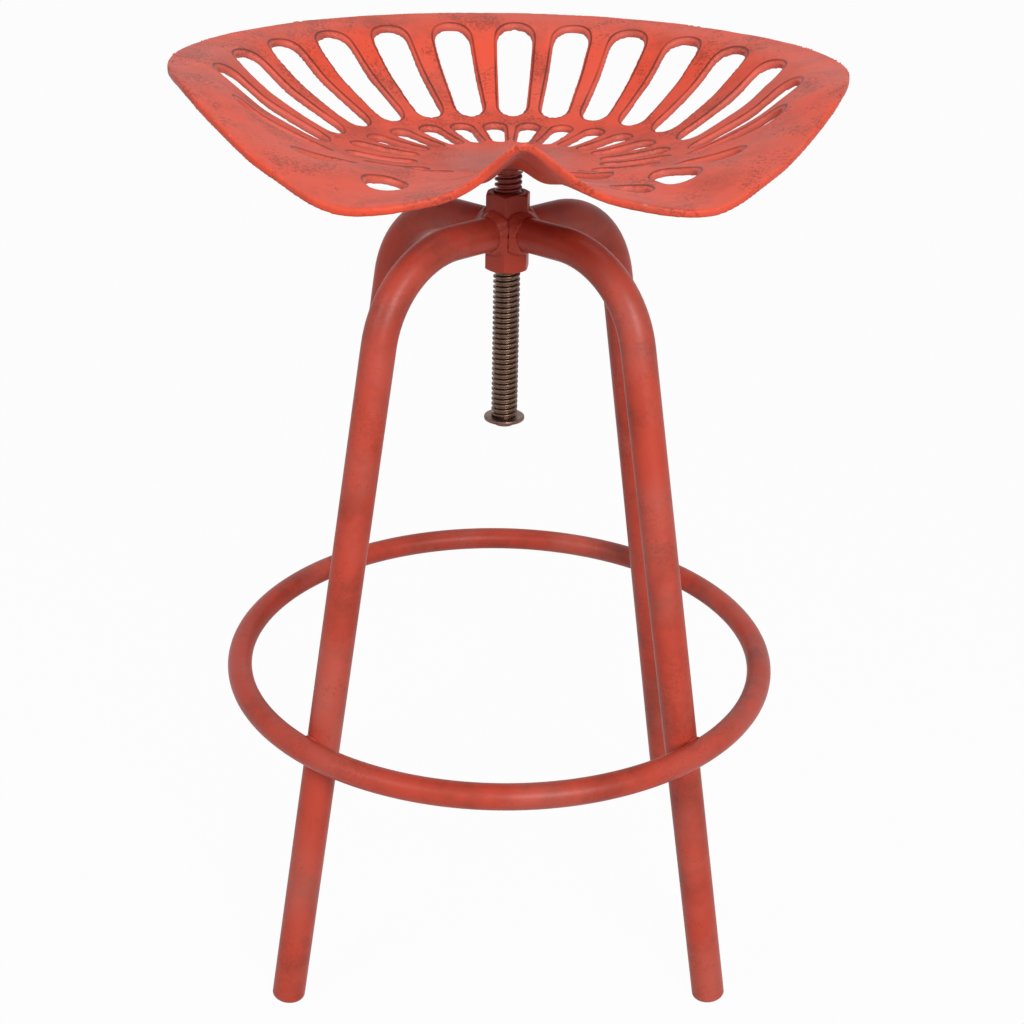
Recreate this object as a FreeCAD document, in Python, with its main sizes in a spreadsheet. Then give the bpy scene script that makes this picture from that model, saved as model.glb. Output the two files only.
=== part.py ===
"""Tractor seat stool: a perforated metal pan on a trapezoidal screw in a four-legged tube base.

Millimetres, +Z up, origin on the floor under the screw axis. The front of the seat, with its
raised pommel, faces -Y, and +X is to its right as seen from the front.
"""
import FreeCAD, Part
import math
import os
import Sketcher

V = FreeCAD.Vector
UP = V(0, 0, 1)

doc = FreeCAD.newDocument("tractor_seat_stool")

# Driving dimensions, one row each: alias, value, meaning
SIZES = (
    ("leg_tube_diameter", 25.0, "outside diameter of the leg tube"),
    ("leg_tube_wall", 1.5, "wall of the leg tube"),
    ("leg_bend_radius", 75.0, "centreline radius of the bend at the top of a leg"),
    ("leg_run_height", 569.0, "height of the level run that meets the hub"),
    ("leg_splay_angle", 11.68, "lean of a leg from the vertical, degrees"),
    ("foot_circle_radius", 232.5, "radius at which the leg centrelines meet the floor"),
    ("leg_end_rise", 9.0, "length of centreline between the floor and the tube's end"),
    ("ring_tube_diameter", 19.0, "outside diameter of the foot ring's tube"),
    ("ring_tube_wall", 1.5, "wall of the foot ring's tube"),
    ("ring_height", 219.4, "height of the foot ring's centreline"),
    ("ring_leg_gap", 0.2, "gap that the ring weld bridges"),
    ("hub_across_flats", 30.0, "hexagonal hub nut, flat to flat"),
    ("hub_bottom_height", 540.0, "lower face of the hub nut"),
    ("hub_length", 57.0, "length of the hub nut"),
    ("hub_turn", 21.7, "direction of one corner of the hexagon, degrees"),
    ("hub_chamfer", 2.6, "depth of the chamfer on the corners, along the radius"),
    ("thread_diameter", 20.0, "outside diameter of the trapezoidal thread"),
    ("thread_pitch", 4.0, "rise in one turn"),
    ("thread_depth_share", 0.5625, "crest to root, as a share of the pitch"),
    ("thread_flank_angle", 15.0, "flank to the plane square to the axis, degrees"),
    ("thread_crest_share", 0.365, "flat on the crest, as a share of the pitch"),
    ("thread_radial_gap", 0.4, "play between screw and nut, along the radius"),
    ("thread_flank_gap", 0.35, "play on each flank, along the axis"),
    ("thread_bottom_height", 424.6, "lower end of the thread"),
    ("thread_lead_in", 2.1, "end chamfer of the thread, along the axis"),
    ("thread_neck", 1.6, "distance from the thread's upper end to the pan"),
    ("tenon_diameter", 14.0, "top of the screw that stands in the pan's hole"),
    ("tenon_gap", 0.1, "play of the tenon in the pan"),
    ("tenon_set_back", 0.4, "distance of the tenon's end below the pan's upper face"),
    ("stub_diameter", 12.0, "turned stub that carries the stop washer"),
    ("stub_gap", 0.1, "running play of the washer on the stub"),
    ("washer_diameter", 31.0, "stop washer"),
    ("washer_thickness", 3.0, "stop washer"),
    ("washer_edge_radius", 1.2, "rounding of the washer's rim"),
    ("washer_end_play", 0.15, "play of the washer above and below"),
    ("bolt_shank_diameter", 8.0, "end bolt's shank in the screw"),
    ("bolt_shank_length", 18.0, "end bolt"),
    ("bolt_head_diameter", 15.0, "end bolt, above the stub so that it holds the washer"),
    ("bolt_head_height", 3.6, "end bolt"),
    ("bolt_socket_width", 5.0, "hexagon socket, flat to flat"),
    ("bolt_socket_depth", 2.0, "hexagon socket"),
    ("cap_insert_length", 16.0, "plug of the foot cap inside the leg"),
    ("cap_insert_gap", 0.05, "play of the plug in the tube"),
    ("cap_rim_height", 3.0, "rim between the tube's end and the dome"),
    ("cap_dome_radius", 13.0, "round underside of the foot cap"),
    ("hub_bead_size", 4.5, "weld between leg and hub"),
    ("ring_bead_radius", 8.0, "weld between ring and leg, round the point where they meet"),
    ("ring_bead_depth", 6.0, "weld between ring and leg, from one tube towards the other"),
    ("seat_bead_size", 2.6, "weld between screw and pan"),
    ("pan_thickness", 5.5, "wall of the pan"),
    ("pan_centre_height", 618.0, "upper face of the pan on the axis"),
    ("seat_turn_at_rest", 2.0, "direction of the seat in the drawn position, degrees"),
    ("rim_radius_back", 214.0, "pan's rim at the back"),
    ("rim_radius_quarter", 228.0, "pan's rim 60 degrees from the back"),
    ("rim_radius_ear", 236.0, "pan's rim at the sides"),
    ("rim_radius_shoulder", 232.0, "pan's rim 105 degrees from the back"),
    ("rim_radius_flank", 226.0, "pan's rim 120 degrees from the back"),
    ("rim_radius_thigh", 224.0, "pan's rim 135 degrees from the back"),
    ("rim_radius_lobe", 220.0, "pan's rim at the front lobes"),
    ("rim_radius_notch", 192.0, "pan's rim 165 degrees from the back"),
    ("rim_radius_pommel", 153.0, "pan's rim at the pommel"),
    ("rim_rise_back", 75.0, "rim above the pan's centre, at the back"),
    ("rim_rise_quarter", 73.0, "rim above the pan's centre"),
    ("rim_rise_ear", 71.0, "rim above the pan's centre"),
    ("rim_rise_shoulder", 68.5, "rim above the pan's centre"),
    ("rim_rise_flank", 53.0, "rim above the pan's centre"),
    ("rim_rise_thigh", 31.5, "rim above the pan's centre"),
    ("rim_rise_lobe", 14.5, "rim above the pan's centre"),
    ("rim_rise_notch", 22.0, "rim above the pan's centre"),
    ("rim_rise_pommel", 46.7, "rim above the pan's centre"),
    ("slot_pitch", 15.0, "angle between the slots of the back wall, degrees"),
    ("slot_phase", 4.5, "turn of the slot pattern on the pan, degrees"),
    ("slot_fan_left", 1.10, "outer ends' angle over inner ends' angle, left of the middle slot"),
    ("slot_fan_right", 0.96, "the same, right of the middle slot"),
    ("slot_inner_width", 21.0, "wall slots, near the centre"),
    ("slot_outer_width", 28.0, "wall slots, near the rim"),
    ("lobe_slot_inner_width", 18.0, "front slots, near the centre"),
    ("lobe_slot_outer_width", 24.0, "front slots, near the rim"),
    ("ray_inner_width", 9.0, "narrow inner slots, near the centre"),
    ("ray_outer_width", 14.0, "narrow inner slots, outer end"),
)

sheet = doc.addObject("Spreadsheet::Sheet", "Sizes")
for row, (alias, number, meaning) in enumerate(SIZES, start=1):
    sheet.set("A%d" % row, alias)
    sheet.set("B%d" % row, str(number))
    sheet.set("C%d" % row, meaning)
    sheet.setAlias("B%d" % row, alias)
doc.recompute()


def size(alias):
    """Value of one cell of the sheet."""
    return float(sheet.get(alias))


def add(kind, name, **bindings):
    """New object whose properties are bound to expressions in the sheet's aliases."""
    thing = doc.addObject(kind, name)
    thing.Label = name
    for prop, expression in bindings.items():
        thing.setExpression(prop, expression)
    return thing


def place(thing, base, rotation=FreeCAD.Rotation()):
    """Give a finished object its place."""
    thing.Placement = FreeCAD.Placement(base, rotation)
    return thing


def cut(name, base, tool):
    """Base without tool."""
    thing = add("Part::Cut", name)
    thing.Base = base
    thing.Tool = tool
    return thing


def common(name, base, tool):
    """What base and tool share."""
    thing = add("Part::Common", name)
    thing.Base = base
    thing.Tool = tool
    return thing


def fuse(name, shapes):
    """Union of several objects."""
    thing = add("Part::MultiFuse", name)
    thing.Shapes = shapes
    return thing


def formed(name, shape):
    """Object that holds a shape made with geometry functions."""
    thing = doc.addObject("Part::Feature", name)
    thing.Label = name
    thing.Shape = shape
    return thing


def origin_plane(body, role):
    """One of a body's own origin planes."""
    return next(plane for plane in body.Origin.OriginFeatures if plane.Role == role)


def sketch_on(body, role, name):
    """Sketch on one of the body's own origin planes."""
    sketch = body.newObject("Sketcher::SketchObject", name)
    sketch.AttachmentSupport = [(origin_plane(body, role), "")]
    sketch.MapMode = "FlatFace"
    return sketch


def bind_datum(sketch, constraint, name, expression):
    """Add a named driving constraint and bind it to the sheet."""
    index = sketch.addConstraint(constraint)
    sketch.renameConstraint(index, name)
    sketch.setExpression("Constraints.%s" % name, expression)


# Places that several pieces share
splay = math.radians(size("leg_splay_angle"))
leg_radius = size("leg_tube_diameter") / 2
ring_radius_small = size("ring_tube_diameter") / 2
leg_radius_at_ring = size("foot_circle_radius") - size("ring_height") * math.tan(splay)
ring_offset = leg_radius + ring_radius_small + size("ring_leg_gap")
ring_radius = leg_radius_at_ring + ring_offset / math.cos(splay)
hub_top_height = size("hub_bottom_height") + size("hub_length")
pan_underside_height = size("pan_centre_height") - size("pan_thickness")
thread_top_height = pan_underside_height - size("thread_neck")
thread_root_radius = size("thread_diameter") / 2 - size("thread_depth_share") * size("thread_pitch")
thread_half_crest = size("thread_crest_share") * size("thread_pitch") / 2
stub_bottom_height = (size("thread_bottom_height") - size("washer_thickness")
                      - 2 * size("washer_end_play"))

CORNERS = (
    ("front_left", 225.0),
    ("front_right", 315.0),
    ("rear_right", 45.0),
    ("rear_left", 135.0),
)


def around(azimuth, point):
    """Point given as (radius, 0, height), carried round the axis."""
    return FreeCAD.Rotation(UP, azimuth).multVec(point)


# Hub nut

# Largest gap that is closed when the faces of a thread are joined
SEW_TOLERANCE = 0.001
# How far a turned blank stands outside the thread that it trims
BLANK_MARGIN = 0.5


def hexagon(name, across_flats, height):
    """Hexagonal bar, standing on its own origin."""
    bar = add("Part::Prism", name, Height=height,
              Circumradius="%s / 2 / cos(30)" % across_flats)
    bar.Polygon = 6
    return bar


def thread_solid(root, crest, half_crest, low, high):
    """Threaded rod that runs past both heights, with a crest on +X at each multiple of the pitch.

    Bands ruled between one-turn helices repeat up the axis, and a helical floor and a flat step
    close each end.
    """
    pitch = size("thread_pitch")
    half_foot = half_crest + (crest - root) * math.tan(math.radians(size("thread_flank_angle")))
    marks = ((root, -half_foot), (crest, -half_crest), (crest, half_crest), (root, half_foot),
             (root, pitch - half_foot))
    bottom = pitch * (math.floor(low / pitch) - 1)
    turns = math.ceil((high - bottom) / pitch) + 1

    def helix(radius, height):
        turn = Part.makeHelix(pitch, pitch, radius, 0, False)
        turn.translate(UP * height)
        return turn.Edges[0]

    edges = [helix(radius, bottom + height) for radius, height in marks]
    bands = [Part.makeRuledSurface(edge, next_edge) for edge, next_edge in zip(edges[:-1], edges[1:])]
    faces = []
    for k in range(turns):
        for band in bands:
            raised = band.copy()
            raised.translate(UP * (pitch * k))
            faces += raised.Faces
    for start in (bottom - half_foot, bottom - half_foot + pitch * turns):
        axis = Part.makeLine(UP * start, UP * (start + pitch))
        faces += Part.makeRuledSurface(axis, helix(root, start)).Faces
        step = [V(radius, 0, start + half_foot + height) for radius, height in marks]
        outline = [UP * start] + step + [UP * (start + pitch), UP * start]
        faces.append(Part.Face(Part.makePolygon(outline)))
    shell = Part.makeShell(faces)
    shell.sewShape()
    solid = Part.makeSolid(shell)
    solid.fix(SEW_TOLERANCE, SEW_TOLERANCE, 10 * SEW_TOLERANCE)
    return solid


def turned_blank(profile):
    """Solid of revolution: profile is a list of (radius, height) that starts and ends on the axis."""
    outline = Part.makePolygon([V(radius, 0, height) for radius, height in profile + profile[:1]])
    return Part.Face(outline).revolve(V(0, 0, 0), UP, 360)


hub_bar = hexagon("hub_bar", "Sizes.hub_across_flats", "Sizes.hub_length")
place(hub_bar, V(0, 0, size("hub_bottom_height")), FreeCAD.Rotation(UP, size("hub_turn")))


def hub_chamfer_blank():
    """Turned blank whose ends are coned down to the chamfer."""
    corner = size("hub_across_flats") / 2 / math.cos(math.radians(30))
    face_edge = corner - size("hub_chamfer")
    drop = size("hub_chamfer") * math.tan(math.radians(30))
    low, high = size("hub_bottom_height"), hub_top_height
    return turned_blank([(0, low), (face_edge, low), (corner, low + drop), (corner, high - drop),
                         (face_edge, high), (0, high)])


nut_thread = thread_solid(thread_root_radius + size("thread_radial_gap"),
                          size("thread_diameter") / 2 + size("thread_radial_gap"),
                          thread_half_crest + size("thread_flank_gap"),
                          size("hub_bottom_height"), hub_top_height)
hub_blank = common("hub_blank", hub_bar, formed("hub_ends", hub_chamfer_blank()))
hub_nut = cut("hub_nut", hub_blank, formed("hub_thread", nut_thread))


# Legs

def leg_body(name):
    """Bent tube in the XZ plane: a level run, one bend and a leaning straight."""
    body = doc.addObject("PartDesign::Body", name)
    run = size("leg_run_height")
    bend = size("leg_bend_radius")
    centre_radius = size("foot_circle_radius") - (run - bend) * math.tan(splay) - bend / math.cos(splay)
    bend_end = V(centre_radius + bend * math.cos(splay), run - bend + bend * math.sin(splay), 0)
    foot = V(size("foot_circle_radius") - size("leg_end_rise") * math.sin(splay),
             size("leg_end_rise") * math.cos(splay), 0)

    path = sketch_on(body, "XZ_Plane", name + "_path")
    path.addGeometry(Part.LineSegment(V(0, run, 0), V(centre_radius, run, 0)))
    path.addGeometry(Part.ArcOfCircle(Part.Circle(V(centre_radius, run - bend, 0), UP, bend),
                                      splay, math.pi / 2))
    path.addGeometry(Part.LineSegment(bend_end, foot))
    path.addConstraint(Sketcher.Constraint("PointOnObject", 0, 1, -2))
    path.addConstraint(Sketcher.Constraint("Horizontal", 0))
    path.addConstraint(Sketcher.Constraint("Tangent", 0, 2, 1, 2))
    path.addConstraint(Sketcher.Constraint("Tangent", 1, 1, 2, 1))
    bind_datum(path, Sketcher.Constraint("DistanceY", -1, 1, 0, 1, run), "run_height",
               "Sizes.leg_run_height")
    bind_datum(path, Sketcher.Constraint("Radius", 1, bend), "bend_radius", "Sizes.leg_bend_radius")
    bind_datum(path, Sketcher.Constraint("DistanceX", -1, 1, 2, 2, foot.x), "foot_radius",
               "Sizes.foot_circle_radius - Sizes.leg_end_rise * sin(Sizes.leg_splay_angle)")
    bind_datum(path, Sketcher.Constraint("DistanceY", -1, 1, 2, 2, foot.y), "foot_height",
               "Sizes.leg_end_rise * cos(Sizes.leg_splay_angle)")
    bind_datum(path, Sketcher.Constraint("Angle", 2, math.atan2(foot.y - bend_end.y, foot.x - bend_end.x)),
               "lean", "(Sizes.leg_splay_angle - 90) * 1 deg")

    ring = sketch_on(body, "YZ_Plane", name + "_section")
    for index, (label, radius) in enumerate((("outside", leg_radius),
                                             ("inside", leg_radius - size("leg_tube_wall")))):
        ring.addGeometry(Part.Circle(V(0, run, 0), UP, radius))
        ring.addConstraint(Sketcher.Constraint("PointOnObject", index, 3, -2))
        bind_datum(ring, Sketcher.Constraint("DistanceY", -1, 1, index, 3, run), label + "_height",
                   "Sizes.leg_run_height")
        wall = "" if label == "outside" else " - Sizes.leg_tube_wall"
        bind_datum(ring, Sketcher.Constraint("Radius", index, radius), label + "_radius",
                   "Sizes.leg_tube_diameter / 2" + wall)
    doc.recompute()
    tube = body.newObject("PartDesign::AdditivePipe", name + "_tube")
    tube.Profile = ring
    tube.Spine = (path, ["Edge1", "Edge2", "Edge3"])
    body.Tip = tube
    doc.recompute()
    return body


def quadrant(name, azimuth):
    """Square block that holds the quarter of the base round one leg, so that legs meet on mitres."""
    block = add("Part::Box", name, Length="Sizes.foot_circle_radius * 2",
                Width="Sizes.foot_circle_radius * 2", Height="Sizes.leg_run_height * 2")
    return place(block, V(0, 0, 0), FreeCAD.Rotation(UP, azimuth - 45))


def leg_axis_rotation(azimuth):
    """Turns +Z into the direction that climbs a leg."""
    return FreeCAD.Rotation(UP, azimuth).multiply(FreeCAD.Rotation(V(0, 1, 0), -size("leg_splay_angle")))


hub_space = hexagon("hub_space", "Sizes.hub_across_flats", "Sizes.hub_length")
place(hub_space, V(0, 0, size("hub_bottom_height")), FreeCAD.Rotation(UP, size("hub_turn")))
ring_space = add("Part::Torus", "ring_space", Radius2="Sizes.ring_tube_diameter / 2",
                 Radius1="Sizes.foot_circle_radius - Sizes.ring_height * tan(Sizes.leg_splay_angle) + "
                         "(Sizes.leg_tube_diameter / 2 + Sizes.ring_tube_diameter / 2 + "
                         "Sizes.ring_leg_gap) / cos(Sizes.leg_splay_angle)")
place(ring_space, V(0, 0, size("ring_height")))
ring_bore = add("Part::Torus", "ring_bore", Radius1="ring_space.Radius1",
                Radius2="Sizes.ring_tube_diameter / 2 - Sizes.ring_tube_wall")
place(ring_bore, V(0, 0, size("ring_height")))
foot_ring = cut("foot_ring", ring_space, ring_bore)


def make_leg(corner, azimuth):
    """Leg tube, mitred against its neighbours and coped to the hub."""
    body = leg_body("bent_tube_" + corner)
    place(body, V(0, 0, 0), FreeCAD.Rotation(UP, azimuth))
    mitred = common("mitred_tube_" + corner, body, quadrant("leg_quadrant_" + corner, azimuth))
    return cut("leg_" + corner, mitred, hub_space)


def make_hub_weld(corner, azimuth):
    """Bead round the root of a leg, lying on the hub's faces."""
    bead = add("Part::Cone", "hub_bead_" + corner,
               Radius1="Sizes.leg_tube_diameter / 2 + Sizes.hub_bead_size",
               Radius2="Sizes.leg_tube_diameter / 2",
               Height="Sizes.hub_bead_size * 1.6")
    outward = FreeCAD.Rotation(UP, azimuth).multiply(FreeCAD.Rotation(V(0, 1, 0), 90))
    start = around(azimuth, V(size("hub_across_flats") / 2, 0, size("leg_run_height")))
    place(bead, start, outward)
    root = add("Part::Cylinder", "hub_bead_root_" + corner,
               Radius="Sizes.leg_tube_diameter / 2 + Sizes.hub_bead_size",
               Height="Sizes.hub_across_flats / 2")
    place(root, around(azimuth, V(0, 0, size("leg_run_height"))), outward)
    bead = fuse("hub_bead_whole_" + corner, [bead, root])
    tube = add("Part::Cylinder", "hub_bead_bore_" + corner, Radius="Sizes.leg_tube_diameter / 2",
               Height="Sizes.hub_across_flats * 2")
    place(tube, around(azimuth, V(0, 0, size("leg_run_height"))), outward)
    ring = cut("hub_bead_ring_" + corner, bead, tube)
    ring = common("hub_bead_part_" + corner, ring, quadrant("bead_quadrant_" + corner, azimuth))
    return cut("hub_weld_" + corner, ring, hub_space)


def make_ring_weld(corner, azimuth):
    """Bead that fills the notch where the foot ring crosses a leg."""
    bead = add("Part::Cylinder", "ring_bead_" + corner, Radius="Sizes.ring_bead_radius",
               Height="Sizes.ring_bead_depth")
    inset = ring_radius_small + size("ring_leg_gap") / 2
    meeting = V(ring_radius - inset * math.cos(splay), 0, size("ring_height") - inset * math.sin(splay))
    outward = leg_axis_rotation(azimuth).multiply(FreeCAD.Rotation(V(0, 1, 0), 90))
    back = outward.multVec(UP) * (size("ring_bead_depth") / 2)
    place(bead, around(azimuth, meeting) - back, outward)
    leg_space = add("Part::Cylinder", "leg_space_" + corner, Radius="Sizes.leg_tube_diameter / 2",
                    Height="Sizes.leg_run_height / 2 + Sizes.ring_height / 2")
    place(leg_space, around(azimuth, V(size("foot_circle_radius"), 0, 0)), leg_axis_rotation(azimuth))
    trimmed = cut("ring_bead_outer_" + corner, bead, ring_space)
    return cut("ring_weld_" + corner, trimmed, leg_space)


def make_foot_cap(corner, azimuth):
    """Plug with a rim and a round underside that is flat where it stands on the floor."""
    turn = leg_axis_rotation(azimuth)
    foot = around(azimuth, V(size("foot_circle_radius"), 0, 0))
    climb = turn.multVec(UP)
    tube_end = size("leg_end_rise")
    rim_bottom = tube_end - size("cap_rim_height")
    plug = add("Part::Cylinder", "cap_plug_" + corner, Height="Sizes.cap_insert_length",
               Radius="Sizes.leg_tube_diameter / 2 - Sizes.leg_tube_wall - Sizes.cap_insert_gap")
    place(plug, foot + climb * tube_end, turn)
    rim = add("Part::Cylinder", "cap_rim_" + corner, Radius="Sizes.leg_tube_diameter / 2",
              Height="Sizes.cap_rim_height")
    place(rim, foot + climb * rim_bottom, turn)
    dome = add("Part::Sphere", "cap_dome_" + corner, Radius="Sizes.cap_dome_radius")
    centre = rim_bottom + math.sqrt(size("cap_dome_radius") ** 2 - leg_radius ** 2)
    dome_angle = math.degrees(math.asin((rim_bottom - centre) / size("cap_dome_radius")))
    dome.Angle1 = -90
    dome.Angle2 = dome_angle
    dome.Angle3 = 360
    place(dome, foot + climb * centre, turn)
    whole = fuse("cap_whole_" + corner, [plug, rim, dome])
    floor = add("Part::Box", "floor_" + corner, Length="Sizes.leg_tube_diameter * 2",
                Width="Sizes.leg_tube_diameter * 2", Height="Sizes.leg_tube_diameter")
    place(floor, foot - V(size("leg_tube_diameter"), size("leg_tube_diameter"), size("leg_tube_diameter")))
    return cut("foot_cap_" + corner, whole, floor)


base_pieces = [hub_nut, foot_ring]
for corner, azimuth in CORNERS:
    base_pieces.append(make_leg(corner, azimuth))
    base_pieces.append(make_hub_weld(corner, azimuth))
    base_pieces.append(make_ring_weld(corner, azimuth))
    base_pieces.append(make_foot_cap(corner, azimuth))


# Seat pan

# The smooth faces run through a square grid of heights that reaches past the rim
GRID_REACH_SHARE = 1.07
GRID_CELLS = 32
# Distance over which the pan's slope is measured
SLOPE_STEP = 0.5
# Directions, in degrees from the back, at which the rim is measured
RIM_STATIONS = ("back", "quarter", "ear", "shoulder", "flank", "thigh", "lobe", "notch", "pommel")
RIM_ANGLES = (0, 60, 90, 105, 120, 135, 150, 165, 180)
# Share of the rim's rise that the pan has reached, at each share of the rim's radius
WALL_RADII = (0.0, 0.3, 0.5, 0.72, 0.88, 1.0)
WALL_ANGLES = (0, 90, 120, 150, 180)
WALL_RISES = (
    (0.0, 0.03, 0.10, 0.49, 0.91, 1.0),
    (0.0, 0.03, 0.14, 0.51, 0.92, 1.0),
    (0.0, 0.04, 0.21, 0.51, 0.83, 1.0),
    (0.0, 0.28, 0.69, 0.97, 1.03, 1.0),
    (0.0, 0.30, 0.49, 0.71, 0.88, 1.0),
)
# Inner end of the wide slots as a share of the rim's radius, and the band between slot and rim
SLOT_START_ANGLES = (0, 90, 120, 150, 180)
SLOT_STARTS = (0.55, 0.55, 0.58, 0.64, 0.64)
BAND_ANGLES = (0, 60, 90, 120, 150, 180)
BANDS = (24.0, 27.0, 32.0, 46.0, 52.0, 55.0)
# Slots of the front lobes, from the back, left and right
LOBE_SLOTS_LEFT = (-151.0, -131.0, -110.0)
LOBE_SLOTS_RIGHT = (103.0, 120.0, 135.5, 148.0)
WALL_SLOTS_EACH_SIDE = 6
RAY_START = 0.29
RAY_END = 0.485

rim_radii = [size("rim_radius_" + station) for station in RIM_STATIONS]
rim_rises = [size("rim_rise_" + station) for station in RIM_STATIONS]


def blend(knots, values, x, level_ends=True):
    """Smooth curve through the values that doesn't overshoot between them."""
    last = len(knots) - 1
    steps = [(values[i + 1] - values[i]) / (knots[i + 1] - knots[i]) for i in range(last)]
    slopes = [0.0] * (last + 1)
    for i in range(1, last):
        if steps[i - 1] * steps[i] > 0:
            before, after = knots[i] - knots[i - 1], knots[i + 1] - knots[i]
            near, far = 2 * after + before, after + 2 * before
            slopes[i] = (near + far) / (near / steps[i - 1] + far / steps[i])
    if not level_ends:
        slopes[0] = steps[0]
        slopes[last] = steps[last - 1]
    if x >= knots[last]:
        return values[last] + slopes[last] * (x - knots[last])
    i = max(k for k in range(last) if knots[k] <= x)
    span = knots[i + 1] - knots[i]
    u = (x - knots[i]) / span
    return ((1 + 2 * u) * (1 - u) ** 2 * values[i] + u * (1 - u) ** 2 * span * slopes[i]
            + u * u * (3 - 2 * u) * values[i + 1] + u * u * (u - 1) * span * slopes[i + 1])


def from_back(angle):
    """The same direction on the right half, 0 at the back and 180 at the pommel."""
    angle = abs(angle) % 360
    return 360 - angle if angle > 180 else angle


def rim_radius(angle):
    return blend(RIM_ANGLES, rim_radii, from_back(angle))


def pan_height(x, y):
    """Height of the pan's upper face over a point of its plan."""
    angle = from_back(math.degrees(math.atan2(x, y)))
    share = min(math.hypot(x, y) / rim_radius(angle), 1.12)
    rises = [blend(WALL_ANGLES, column, angle) for column in zip(*WALL_RISES)]
    rim_rise = blend(RIM_ANGLES, rim_rises, angle)
    return size("pan_centre_height") + rim_rise * blend(WALL_RADII, rises, share, False)


def underside_height(x, y):
    """Height of the lower face: the wall keeps its thickness along the normal."""
    slope_x = (pan_height(x + SLOPE_STEP, y) - pan_height(x - SLOPE_STEP, y)) / (2 * SLOPE_STEP)
    slope_y = (pan_height(x, y + SLOPE_STEP) - pan_height(x, y - SLOPE_STEP)) / (2 * SLOPE_STEP)
    return pan_height(x, y) - size("pan_thickness") * math.sqrt(1 + slope_x ** 2 + slope_y ** 2)


def height_face(height):
    """Smooth face through the heights over a square grid that is larger than the pan."""
    reach = GRID_REACH_SHARE * max(rim_radii)
    step = 2 * reach / GRID_CELLS
    marks = [step * k - reach for k in range(GRID_CELLS + 1)]
    surface = Part.BSplineSurface()
    surface.interpolate([[height(x, y) for y in marks] for x in marks], -reach, step, -reach, step)
    return surface.toShape()


def polar(angle, radius, height):
    """Point at an angle from the back, clockwise seen from above."""
    turn = math.radians(angle)
    return V(radius * math.sin(turn), radius * math.cos(turn), height)


def slot_wire(inner, outer, inner_width, outer_width):
    """Outline of a tapered slot with round ends."""
    along = outer - inner
    along.normalize()
    across = V(along.y, -along.x, 0)
    near, far = inner_width / 2, outer_width / 2
    near_centre, far_centre = inner + along * near, outer - along * far
    lean = (near - far) / (far_centre - near_centre).Length
    side = math.sqrt(1 - lean * lean)
    right = along * lean + across * side
    left = along * lean - across * side
    near_right, near_left = near_centre + right * near, near_centre + left * near
    far_right, far_left = far_centre + right * far, far_centre + left * far
    return Part.Wire([
        Part.makeLine(near_right, far_right),
        Part.Arc(far_right, far_centre + along * far, far_left).toShape(),
        Part.makeLine(far_left, near_left),
        Part.Arc(near_left, near_centre - along * near, near_right).toShape(),
    ])


def slot_wires(height):
    """Twenty wide slots and a narrow ray between each two of them."""
    phase = size("slot_phase")
    wall = [size("slot_pitch") * k for k in range(-WALL_SLOTS_EACH_SIDE, WALL_SLOTS_EACH_SIDE + 1)]
    angles = list(LOBE_SLOTS_LEFT) + wall + list(LOBE_SLOTS_RIGHT)
    wires = []
    for angle in angles:
        fan = 1.0
        widths = size("lobe_slot_inner_width"), size("lobe_slot_outer_width")
        if angle in wall:
            fan = size("slot_fan_left") if angle < 0 else size("slot_fan_right")
            fan = 1.0 + (fan - 1.0) * math.cos(math.radians(angle / 2)) ** 4
            widths = size("slot_inner_width"), size("slot_outer_width")
        start, end = angle + phase, angle * fan + phase
        inner = blend(SLOT_START_ANGLES, SLOT_STARTS, from_back(start)) * rim_radius(start)
        outer = rim_radius(end) - blend(BAND_ANGLES, BANDS, from_back(end))
        wires.append(slot_wire(polar(start, inner, height), polar(end, outer, height), *widths))
    for first, second in zip(angles[:-1], angles[1:]):
        middle = (first + second) / 2 + phase
        reach = rim_radius(middle)
        ray_start = polar(middle, RAY_START * reach, height)
        ray_end = polar(middle, RAY_END * reach, height)
        wires.append(slot_wire(ray_start, ray_end, size("ray_inner_width"), size("ray_outer_width")))
    return wires


def pan_shape():
    """Space between the two smooth faces, inside the rim and outside the slots."""
    floor = size("pan_centre_height") - 2 * max(rim_rises)
    tall = 5 * max(rim_rises)
    rim = Part.BSplineCurve()
    rim.interpolate(Points=[polar(angle, rim_radius(angle), floor) for angle in range(0, 360, 10)],
                    PeriodicFlag=True)
    block = Part.Face(Part.Wire([rim.toShape()])).extrude(UP * tall)
    above_under = block.common(height_face(underside_height).extrude(UP * tall))
    plate = above_under.cut(height_face(pan_height).extrude(UP * tall))
    holes = [Part.Face(wire).extrude(UP * tall) for wire in slot_wires(floor)]
    tenon_hole = Part.makeCylinder(size("tenon_diameter") / 2 + size("tenon_gap"), tall, V(0, 0, floor))
    return plate.cut(holes + [tenon_hole])


pan_solid = pan_shape().Solids[0]
seat_rotation = FreeCAD.Rotation(UP, size("seat_turn_at_rest"))
seat_pan = place(formed("seat_pan", pan_solid), V(0, 0, 0), seat_rotation)


# Screw, its weld and its lower stop

def screw_blank():
    """Turned blank with the stub, the ends of the thread, the tenon and the bolt's bore."""
    low, high = size("thread_bottom_height"), thread_top_height
    lead = size("thread_lead_in")
    outside = size("thread_diameter") / 2 + BLANK_MARGIN
    stub, bore = size("stub_diameter") / 2, size("bolt_shank_diameter") / 2
    tenon, tenon_top = size("tenon_diameter") / 2, size("pan_centre_height") - size("tenon_set_back")
    bore_end = stub_bottom_height + size("bolt_shank_length")
    return turned_blank([(0, bore_end), (bore, bore_end), (bore, stub_bottom_height),
                         (stub, stub_bottom_height), (stub, low), (outside - lead, low),
                         (outside, low + lead), (outside, high - lead), (outside - lead, high),
                         (tenon, high), (tenon, tenon_top), (0, tenon_top)])


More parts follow.
